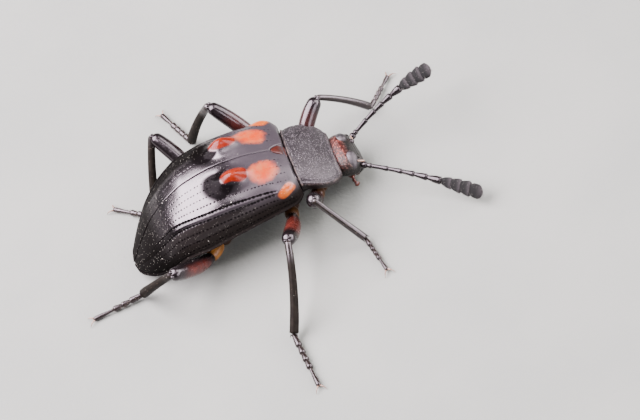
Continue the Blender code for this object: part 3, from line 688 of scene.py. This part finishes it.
# Beads along the plate's side, base and front, as bells of the distance from there: (centre, width, height)
PLATE_BEADS = (((0.03, 0.03, 0.03), (0.1, 0.045, -0.021)), ((0.07, 0.035, 0.03), (0.15, 0.04, -0.018)),
               ((0.06, 0.03, 0.024), (0.13, 0.04, -0.0144)))
# Bells of the pale edge colour as (centre, width, height) for side, base and front: wear and dust, with a
# painted highlight on the rear bead
WEAR_AND_SHEEN_EDGES = ((0.012, 0.014, 0.5), (0.065, 0.026, 1.0), (0.045, 0.022, 0.5))
PRONOTUM_GRAIN, PRONOTUM_GRAIN_HEIGHT = 22, 0.011


def make_pronotum(material):
    rows, plate_steps, flank_steps = 210, 150, 40
    x = np.linspace(0.0, 1.77, rows)[:, None]
    top, edge = between(PRONOTUM_TOP, x), between(PRONOTUM_EDGE, x)
    width, bottom = between(PRONOTUM_HALF_WIDTH, x), between(PROSTERNUM, x)
    angles = np.linspace(0, np.pi / 2, plate_steps)
    y = width * np.sin(angles) ** (2 / PLATE_POWER)
    plate = sheet(x, y, edge + (top - edge) * np.cos(angles).clip(0) ** (2 / PLATE_POWER))
    edges = (width - y, x - x[0], x[-1] - x)
    raised = sum(bell(place, *line) for place, lines in zip(edges, PLATE_BEADS) for line in lines)
    wear_and_sheen = sum(bell(place, *line) for place, line in zip(edges, WEAR_AND_SHEEN_EDGES))
    # Both ends are rolled down to a rounded edge
    roll = PLATE_ROLL * (2 - sum(dome(place, PLATE_ROLL) for place in edges[1:]))
    plate += upward_normals(plate, 5) * (raised - roll)[:, :, None]
    under = np.linspace(0, np.pi / 2, flank_steps)
    flank_y = (width - PLATE_LEDGE) * np.cos(under).clip(0) ** 1.15
    flank_z = edge - PLATE_THICKNESS - (edge - PLATE_THICKNESS - bottom) * np.sin(under) ** 0.9
    half = np.concatenate([plate, sheet(x, flank_y, flank_z)], axis=1)
    rim = np.pad(np.clip(wear_and_sheen, 0, 1), ((0, 0), (0, flank_steps)))
    flank = np.broadcast_to(np.arange(half.shape[1]) >= plate_steps, half.shape[:2])
    grid = both_halves(half, (1, -1, 1))
    grid += upward_normals(grid, 5) * (PRONOTUM_GRAIN_HEIGHT * graininess(grid, PRONOTUM_GRAIN))[:, :, None]
    add_piece("pronotum_shield", [(grid, 0)], material, "pronotum", ["prothorax"], rim=both_halves(rim),
              flank=both_halves(flank))


HEAD_BACK, HEAD_FRONT = 1.6, 2.74
HEAD_TOP = ((1.6, 1.7), (1.84, 1.8), (2.1, 1.81), (2.35, 1.69), (2.6, 1.37), (2.7, 1.12), (2.74, 1.0))
HEAD_HALF_WIDTH = ((1.6, 0.9), (1.84, 1.03), (2.1, 1.07), (2.4, 1.01), (2.6, 0.86), (2.7, 0.74), (2.74, 0.6))
HEAD_MIDDLE = ((1.6, 1.26), (2.4, 1.12), (2.74, 0.92))
HEAD_BOTTOM = ((1.6, 0.86), (2.1, 0.66), (2.4, 0.54), (2.6, 0.56), (2.7, 0.68), (2.74, 0.8))
HEAD_POWER = 0.75  # 1 is a round cross-section and less is boxier
HEAD_GRAIN, HEAD_GRAIN_HEIGHT = 18, 0.005
# Bells as (centre, width, height)
FEELER_RIDGE, LIP_GROOVE = ((2.56, 0.15, 0.13), (0.72, 0.17), (1.34, 0.14)), (0.37, 0.03, 0.02)
EYE_CENTRE, EYE_RADII = (2.265, 0.68, 1.46), (0.285, 0.43, 0.25)
EYE_TURN, EYE_LEAN = math.radians(15), math.radians(37)
NECK, HEAD_TURN = Vector((1.7, 0, 0)), math.radians(6)  # the head looks a little to its left
# The line of the painted glint along each brow ridge, from its start to its end
BROW_GLINT_LINES = {
    "left": ((2.66, 0.8, 1.33), (2.68, 0.6, 1.18)),
    "right": ((2.57, -0.78, 1.5), (2.84, -0.75, 1.26)),
}


def make_head(head_material, eye_material, brow_material):
    x = HEAD_BACK + (HEAD_FRONT - HEAD_BACK) * np.sin(np.linspace(0, np.pi / 2, 120))[:, None]
    tables = (HEAD_TOP, HEAD_MIDDLE, HEAD_BOTTOM, HEAD_HALF_WIDTH)
    top, middle, bottom, width = (between(table, x) for table in tables)
    angles = circle(160)
    across, upward = (signed_power(turn(angles), HEAD_POWER) for turn in (np.sin, np.cos))
    grid = sheet(x, width * across, middle + np.where(upward > 0, top - middle, middle - bottom) * upward)
    # The ridge over each feeler's root, the groove above the upper lip, and the front drawn in to a blunt end
    ridge = bell(grid[:, :, 0], *FEELER_RIDGE[0]) * bell(np.abs(grid[:, :, 1]), *FEELER_RIDGE[1])
    ridge *= bell(grid[:, :, 2], *FEELER_RIDGE[2])
    from_lip = np.hypot(grid[:, :, 0] - 2.3, 0.55 * (grid[:, :, 2] - 1.6))
    groove = bell(from_lip, *LIP_GROOVE) * (grid[:, :, 0] > 2.3)
    raised = ridge - groove + HEAD_GRAIN_HEIGHT * graininess(grid, HEAD_GRAIN)
    grid = grid + upward_normals(grid, 0) * raised[:, :, None]
    end = grid[-1].mean(axis=0)
    caps = [end + (grid[-1] - end) * size + (0.03 * (1 - size), 0, 0) for size in (0.85, 0.6, 0.3, 0.05)]
    grid = np.concatenate([grid, np.array(caps)], axis=0)
    turn_head = Matrix.Translation(NECK) @ Matrix.Rotation(HEAD_TURN, 4, "Z") @ Matrix.Translation(-NECK)
    middle = ease(0.85, 0.35, np.abs(grid[:, :, 1]))
    warm = ease(2.42, 2.1, grid[:, :, 0]) * ease(1.35, 1.65, grid[:, :, 2]) * (0.25 + 0.75 * middle)
    add_piece("head_capsule", [(moved(grid, turn_head), warm)], head_material, "head", ["head"])
    polar = np.linspace(0.02, np.pi - 0.02, 60)[:, None]
    turn = circle(80)
    ball = sheet(np.sin(polar) * np.cos(turn), np.sin(polar) * np.sin(turn), np.cos(polar)) * EYE_RADII
    for name, side in SIDES:
        tilt = Matrix.Rotation(-side * EYE_LEAN, 3, "X") @ Matrix.Rotation(side * EYE_TURN, 3, "Z")
        eye = ball @ np.array(tilt).T + np.array(EYE_CENTRE) * (1, side, 1)
        add_piece("compound_eye_" + name, [(moved(eye, turn_head), 0)], eye_material, "eye", ["eye_" + name])
        # A short ridge in front of the eye roofs the root of the feeler, and a thin pale bead along it is a
        # painted glint
        ridge = np.array(BROW_GLINT_LINES[name])
        brow = [(bead(*ridge, (0.036, 0.044, 0.036)), 1),
                (bead(*(ridge + (-0.07, -side * 0.08, -0.09)), (0.1, 0.14, 0.11)), 0)]
        add_piece("brow_ridge_" + name, brow, brow_material, "head")


PALP_KNOTS = ((2.06, 0.52, 0.5), (2.04, 0.66, 0.4), (2.05, 0.78, 0.31), (2.09, 0.88, 0.28),
              (2.14, 0.99, 0.29))
PALP_RADII = ((0.06, 0.09), (0.06, 0.09), (0.06, 0.09), (0.07, 0.14, 0.15))


def make_mouth(material):
    mouth = [(bead((2.5, 0, 0.62), (2.42, 0, 0.36), (0.28, 0.34, 0.3), (0, 1, 0), 0.4, 28, 20), 0.6)]
    for _, side in SIDES:
        path = arc((2.3, side * 0.5, 0.62), (2.42, side * 0.5, 0.3), (2.34, side * 0.1, 0.2), 20)
        jaw = sweep(path, rounded((0.17, 0.16, 0.12, 0.05), np.linspace(0, 0.7, 20), 0.6, 0.6), flatten=0.7)
        mouth += [(jaw, 0.3), (bead((2.0, side * 0.35, 0.62), (2.1, side * 0.45, 0.26), (0.2, 0.2, 0.13)), 1),
                  (bead((2.0, side * 0.12, 0.56), (2.14, side * 0.14, 0.22), (0.13, 0.14, 0.1)), 0.8)]
    add_piece("jaws_and_lip", mouth, material, "mouthparts", ["mouthparts"])
    for name, side in SIDES:
        knots = np.array(PALP_KNOTS) * (1, side, 1)
        palp = [(bead(start, end + (end - start) * 0.08, radii), 1)
                for start, end, radii in zip(knots, knots[1:], PALP_RADII)]
        add_piece("jaw_palp_" + name, palp, material, "mouthparts", ["palp_" + name])


# Feelers

PATH_STEPS = 400
ANTENNA_BASE = (2.64, 0.78, 1.18)
ANTENNA_TIPS = {"left": (6.95, 1.07, 2.92), "right": (6.89, -4.45, 0.62)}
ANTENNA_SAG = {"left": (0.6, 0.05), "right": (-0.26, 0.12)}  # how far the middle is pulled outwards and up
ANTENNA_FACING = {"left": (0.1, -0.45, 0.85), "right": (0.1, -0.85, 0.3)}  # where the club's flat side looks
# Joints from the root: share of the length where each ends, and its radii
FEELER_JOINTS = (
    (0.05, (0.11, 0.15, 0.14)), (0.088, (0.1, 0.13)), (0.225, (0.088, 0.092, 0.12)),
    (0.34, (0.088, 0.098, 0.13)), (0.44, (0.09, 0.108, 0.145)), (0.548, (0.092, 0.13, 0.165)),
    (0.665, (0.095, 0.165, 0.185)), (0.745, (0.11, 0.21, 0.265, 0.28)), (0.825, (0.2, 0.28, 0.33, 0.335)),
    (0.905, (0.23, 0.31, 0.355, 0.355)), (1.0, (0.24, 0.335, 0.34, 0.28)))
SHAFT_FIRST_JOINT, CLUB_FIRST_JOINT = 2, 7
HAIR_RADII, HAIR_LEAN = (0.006, 0.0048, 0.0009), 0.8


def hairs_on(rings, count, length, random, way):
    """Short bristles rooted on a swept body, leaning towards its tip."""
    rows, sides = rings.shape[:2]
    middle = rings.mean(axis=1)
    hairs = []
    for _ in range(count):
        r, s = random.integers(1, rows - 1), random.integers(0, sides)
        root = rings[r, s]
        out = root - middle[r]
        out = out / max(np.linalg.norm(out), 1e-6)
        aim = unit(out + way * HAIR_LEAN + random.normal(0, 0.18, 3))
        reach = length * random.uniform(0.7, 1.3)
        path = root + np.array((-0.01 * aim, (aim * 0.5 + way * 0.05) * reach, (aim + way * 0.15) * reach))
        hairs.append((sweep(path, HAIR_RADII, sides=4), 0))
    return hairs


def make_antenna(name, side, bead_material, club_material, hair_material):
    start, end = np.array(ANTENNA_BASE) * (1, side, 1), np.array(ANTENNA_TIPS[name])
    sideways, up = ANTENNA_SAG[name]
    path = resampled(arc(start, (start + end) / 2 + (0, side * sideways, up), end, 200), PATH_STEPS + 1)
    scape, shaft, club, down = [], [], [], []
    random = np.random.default_rng(5 + side)
    begin = 0.0
    for joint, (finish, radii) in enumerate(FEELER_JOINTS):
        a, b = path[int(begin * PATH_STEPS)], path[int(finish * PATH_STEPS)]
        way = unit(b - a)
        across = unit(np.cross(way, ANTENNA_FACING[name]))
        if joint >= CLUB_FIRST_JOINT:
            end = 0.8 if finish == 1.0 else 0.22
            rings = bead(a - way * 0.05, b + way * 0.05, radii, across, 0.45, 26, 20, 0.4, end)
            club.append((rings, ease(0.5, 0.85, np.linspace(0, 1, 20))[:, None]))
            down += hairs_on(rings, 45, 0.075, random, way)
        else:
            rings = bead(a - way * 0.012, b + way * 0.012, radii, across, 0.9, 18, 20, 0.4, 0.6)
            (scape if joint < SHAFT_FIRST_JOINT else shaft).append((rings, 0))
            down += hairs_on(rings, 9, 0.06, random, way)
        begin = finish
    add_piece("feeler_root_" + name, scape, bead_material, "antenna", ["antenna_scape_" + name])
    add_piece("feeler_shaft_" + name, shaft, bead_material, "antenna", ["antenna_shaft_" + name])
    add_piece("feeler_club_" + name, club, club_material, "antenna_club", ["antenna_club_" + name])
    add_piece("feeler_hairs_" + name, down, hair_material, "antenna")


# Legs: bend of the thigh, knee, ankle and claw, as (x, y away from the midline, z)

HIPS = {"front": (0.6, 0.55, 0.8), "mid": (-0.85, 0.9, 0.82), "hind": (-4.0, 0.95, 0.72)}
LEGS = {
    ("front", "left"): ((0.82, 1.84, 1.84), (2.02, 2.5, 2.52), (3.86, 2.68, 0.3), (5.02, 4.0, 0.13)),
    ("front", "right"): ((0.3, 1.7, 1.25), (0.28, 2.62, 2.54), (1.6, 3.87, 0.3), (1.94, 5.76, 0.13)),
    ("mid", "left"): ((-0.9, 2.72, 1.4), (-2.38, 3.74, 3.5), (-3.92, 5.05, 0.3), (-4.75, 7.25, 0.13)),
    ("mid", "right"): ((-0.95, 2.7, 1.35), (-1.33, 4.15, 2.62), (-2.7, 7.08, 0.3), (-2.48, 9.95, 0.13)),
    ("hind", "left"): ((-4.2, 2.85, 1.62), (-5.2, 4.18, 2.72), (-6.45, 1.95, 0.3), (-8.12, 3.45, 0.13)),
    ("hind", "right"): ((-5.12, 2.3, 1.05), (-6.44, 3.34, 2.7), (-8.12, 1.66, 0.3), (-10.5, 1.72, 0.13)),
}
SHIN_BOWS = {("mid", "right"): (0.24, -0.07, -0.08)}  # how far the middle is pulled aside, where a shin bows
COXA_RADII, TROCHANTER_RADII = (0.3, 0.4, 0.4, 0.28), (0.22, 0.3, 0.32, 0.29, 0.24)
TROCHANTER_END = {"front": 0.8, "mid": 0.85, "hind": 1.15}
TROCHANTER_ORANGE = {"front": 0.15, "mid": 0.22, "hind": 1.0}
THIGH_RADII = (0.18, 0.26, 0.32, 0.35, 0.36, 0.36, 0.35, 0.32, 0.26)
THIGH_RED = {"front": (0.25, 0.25), "mid": (0.35, 0.9), "hind": (0.35, 0.9)}  # on the left and on the right
KNUCKLE_RADII = (0.075, 0.085, 0.065)
SHIN_RADII = (0.145, 0.16, 0.165, 0.172, 0.18, 0.19, 0.2, 0.2)
SHIN_SHARE = {"front": 0.88, "mid": 1.1, "hind": 1.08}
SHIN_GLOSS = {"front": (1.0, 1.0), "mid": (0.9, 0.0), "hind": (0.25, 0.0)}  # at the knee and below it
SPUR_RADII = (0.03, 0.03, 0.026, 0.02, 0.013, 0.004)
FOOT_START = 0.26
TOE_COUNT = {"front": 5, "mid": 5, "hind": 4}
TOE_SIZE = {"front": 0.78, "mid": 1.0, "hind": 0.9}
TOE_RADII, LAST_TOE_RADII = (0.1, 0.145, 0.175), (0.07, 0.09, 0.12, 0.125)


def make_leg(pair, name, side, materials):
    tag = f"{pair}_{name}"
    hip, bend, knee, ankle, claw = (np.array(p) * (1, side, 1) for p in (HIPS[pair], *LEGS[pair, name]))
    random = np.random.default_rng(len(tag) * 7 + side)

    out = unit(bend - hip)
    reach = TROCHANTER_END[pair]
    coxa = bead(hip - out * 0.42 + (0, 0, 0.1), hip + out * 0.4, COXA_RADII, sides=28, steps=24)
    trochanter = bead(hip + out * 0.34, hip + out * (reach + 0.2), TROCHANTER_RADII, sides=24, steps=24)
    bodies = [(coxa, 0.1), (trochanter, TROCHANTER_ORANGE[pair])]
    add_piece("hip_" + tag, bodies, materials["hip"], "leg", ["coxa_" + tag])

    steps = 60
    path = resampled(arc(hip + out * (reach - 0.1), bend, knee, 80), steps)
    radii = rounded(THIGH_RADII, np.linspace(0, distances(path)[-1], steps), 1.0, 0.9)
    rings = sweep(path, radii, flatten=0.97, sides=36)
    share = np.linspace(0, 1, steps)[:, None]
    # The red lies on the outer and lower side of the hind thighs and on top of the others
    facing = np.array((0, side * 0.9, -0.45)) if pair == "hind" else np.array((0.5, 0, 0.85))
    shown = (rings - path[:, None, :]) / np.maximum(radii[:, None, None], 1e-3) @ facing
    red = ease(0.12, 0.3, share) * ease(0.86, 0.62, share) * ease(-0.6, 0.5, shown)
    thigh = [(rings, THIGH_RED[pair][side < 0] * red)]
    # Two small swellings at the knee grip the shin
    way, shin_way = unit(knee - path[-6]), unit(ankle - knee)
    hinge = unit(np.cross(way, shin_way))
    for turn in (1, -1):
        knuckle = knee + hinge * 0.1 * turn
        thigh.append((bead(knuckle - way * 0.18, knuckle + way * 0.07, KNUCKLE_RADII, sides=20), 0))
    add_piece("thigh_" + tag, thigh, materials["thigh"], "thigh", ["femur_" + tag])

    steps = 50
    start = knee - shin_way * 0.03
    bow = way * 0.2 + SHIN_BOWS.get((pair, name), (0, 0, 0))
    path = arc(start, (start + ankle) / 2 + bow, ankle - shin_way * 0.02, steps)
    places = np.linspace(0, np.linalg.norm(ankle - knee), steps)
    radii = rounded(np.array(SHIN_RADII) * SHIN_SHARE[pair], places, 0.8, 0.35)
    rings = sweep(path, radii, flatten=0.9, sides=28, ridges=6, ridge_depth=0.008)
    at_knee, below = SHIN_GLOSS[pair]
    shin = [(rings, below + (at_knee - below) * ease(0.3, 0.08, np.linspace(0, 1, steps))[:, None])]
    for turn in (1, -1):
        root = ankle - shin_way * 0.04 + hinge * 0.12 * turn
        tip = root + shin_way * 0.14 + hinge * 0.04 * turn
        shin.append((sweep(arc(root, (root + tip) / 2, tip, 6), SPUR_RADII, sides=8), 0.5))
    add_piece("shin_" + tag, shin, materials["shin"], "leg", ["tibia_" + tag])
    bristles = hairs_on(rings, 36, 0.045, random, shin_way)
    bristles += add_foot(tag, TOE_COUNT[pair], TOE_SIZE[pair], ankle, claw, random, materials["foot"])
    add_piece("bristles_" + tag, bristles, materials["hair"], "foot")


def add_foot(tag, count, size, ankle, claw, random, material):
    """Joints widening towards their tips, the last one long and slim, and two claws. Returns their hairs."""
    foot, hairs = [], []
    start, end = ankle.copy(), claw
    start[2] = FOOT_START
    lengths = np.array([1.25 if count == 4 else 1.1] + [0.72] * (count - 2) + [1.75])
    stops = np.concatenate(([0], np.cumsum(lengths) / lengths.sum()))
    path = resampled(arc(start, (start + end) / 2 - (0, 0, 0.03), end, 60), PATH_STEPS + 1)
    path += (0, 0, 0.01)
    for k in range(count):
        a, b = path[int(stops[k] * PATH_STEPS)], path[int(stops[k + 1] * PATH_STEPS)]
        way = unit(b - a)
        radii = size * np.array(LAST_TOE_RADII if k == count - 1 else TOE_RADII)
        root = a - way * (0.015 if k else 0.1)
        rings = bead(root, b + way * 0.03, radii, ANY_WAY, 0.9, 20, 16, 0.6, 0.7)
        rings[:, :, 2] = np.maximum(rings[:, :, 2], 0.004)
        foot.append((rings, 0))
        hairs += hairs_on(rings, 22, 0.06, random, way)
    aim = unit((end - start) * (1, 1, 0))
    level = np.array((-aim[1], aim[0], 0))
    for turn in (1, -1):
        root = end + level * 0.045 * turn
        spread = aim * 0.8 + level * 0.6 * turn
        hook = arc(root, root + spread * 0.2 + (0, 0, 0.1), root + spread * 0.34 - (0, 0, 0.1), 14)
        hook[:, 2] = np.maximum(hook[:, 2], 0.02)
        foot.append((sweep(hook, np.linspace(0.042, 0.006, 14), sides=10), 1))
    add_piece("foot_" + tag, foot, material, "foot", ["tarsus_" + tag])
    return hairs


# Floor, light and camera

CAMERA_ANGLES = (-84.3, 50.25, -28.5)  # azimuth, elevation and roll
PICTURE_MIDDLE, PICTURE_WIDTH = (0.507, -0.768), 27.39  # on the plane through the origin
CAMERA_DISTANCE, SENSOR_WIDTH = 250, 36
LIT_MIDDLE = Vector((-2.5, 0, 2))
# Direction as the picture sees it (across, up, towards the camera), distance, width, height, power, colour
SOFTBOXES = {
    "key": ((-0.78, 0.4, 0.48), 120, 130, 125, 1.9, (1.0, 0.93, 0.98)),
    "fill": ((0.45, 0.72, 0.53), 150, 90, 90, 0.42, (1.0, 0.97, 0.95)),
    "front": ((0.0, 0.42, 0.91), 190, 60, 50, 0.16, (1.0, 0.97, 1.0)),
    "near": ((0.58, -0.2, 0.79), 160, 50, 105, 0.21, (1.0, 0.97, 1.0)),
    "side": ((0.8333, 0.3692, 0.321), 150, 190, 60, 0.7, (1.0, 0.97, 0.98)),
}
ROOM_COLOUR, ROOM_STRENGTH = (0.62, 0.66, 0.68, 1), 0.1
FLOOR_REACH = 3.0  # in metres


def camera_axes():
    """The camera's right, up and backward directions."""
    azimuth, elevation, roll = (math.radians(angle) for angle in CAMERA_ANGLES)
    level = Vector((math.cos(azimuth), math.sin(azimuth), 0)) * math.cos(elevation)
    back = level + Vector((0, 0, math.sin(elevation)))
    right = Vector((0, 0, 1)).cross(back).normalized()
    up = back.cross(right)
    return right * math.cos(roll) + up * math.sin(roll), up * math.cos(roll) - right * math.sin(roll), back


def add_camera(right, up, back):
    data = bpy.data.cameras.new("camera")
    data.sensor_width = SENSOR_WIDTH
    data.lens = SENSOR_WIDTH * CAMERA_DISTANCE / PICTURE_WIDTH
    data.clip_start, data.clip_end = 0.001, 10
    camera = put("camera", data)
    target = right * PICTURE_MIDDLE[0] + up * PICTURE_MIDDLE[1]
    place = Matrix.Translation(TO_ROW @ (target + back * CAMERA_DISTANCE))
    camera.matrix_world = place @ Matrix((right, up, back)).transposed().to_4x4()
    bpy.context.scene.camera = camera


def add_lights(axes):
    """Rectangular lights that face the beetle, in a dim room."""
    for name, (way, distance, width, height, power, colour) in SOFTBOXES.items():
        data = bpy.data.lights.new(name, "AREA")
        data.shape = "RECTANGLE"
        data.size, data.size_y = width * MM, height * MM
        data.energy, data.color = power, colour
        direction = sum((axis * share for axis, share in zip(axes, way)), Vector()).normalized()
        place = Matrix.Translation(TO_ROW @ (LIT_MIDDLE + direction * distance))
        put(name, data).matrix_world = place @ direction.to_track_quat("Z", "Y").to_matrix().to_4x4()
    world = bpy.data.worlds.new("room")
    world.use_nodes = True
    background = world.node_tree.nodes["Background"]
    background.inputs["Color"].default_value = ROOM_COLOUR
    background.inputs["Strength"].default_value = ROOM_STRENGTH
    bpy.context.scene.world = world


def add_floor(material):
    mesh = bpy.data.meshes.new("floor")
    corners = [(x * FLOOR_REACH, y * FLOOR_REACH, 0) for x, y in ((-1, -1), (1, -1), (1, 1), (-1, 1))]
    mesh.from_pydata(corners, [], [(0, 1, 2, 3)])
    mesh.materials.append(material)
    put("floor", mesh)


def main():
    shells = {key: shell_finish(key + "_shell", *values) for key, values in SHELLS.items()}
    elytra, club, down = elytra_finish(), club_finish(), hair_finish("feeler_down", (0.09, 0.08, 0.075))
    leg_materials = {**shells, "shin": shin_finish()}
    leg_materials["hair"] = hair_finish("brown_bristles", (0.1, 0.07, 0.05))
    add_floor(floor_finish())
    for name, side in SIDES:
        make_elytron(name, side, elytra)
        make_antenna(name, side, shells["feeler"], club, down)
        for pair in HIPS:
            make_leg(pair, name, side, leg_materials)
    make_scutellum(shells["scutellum"])
    make_belly(shells["belly"])
    make_pronotum(pronotum_finish())
    make_head(head_finish(), eye_finish(), shells["foot"])
    make_mouth(shells["mouth"])
    axes = camera_axes()
    add_lights(axes)
    add_camera(*axes)


main()
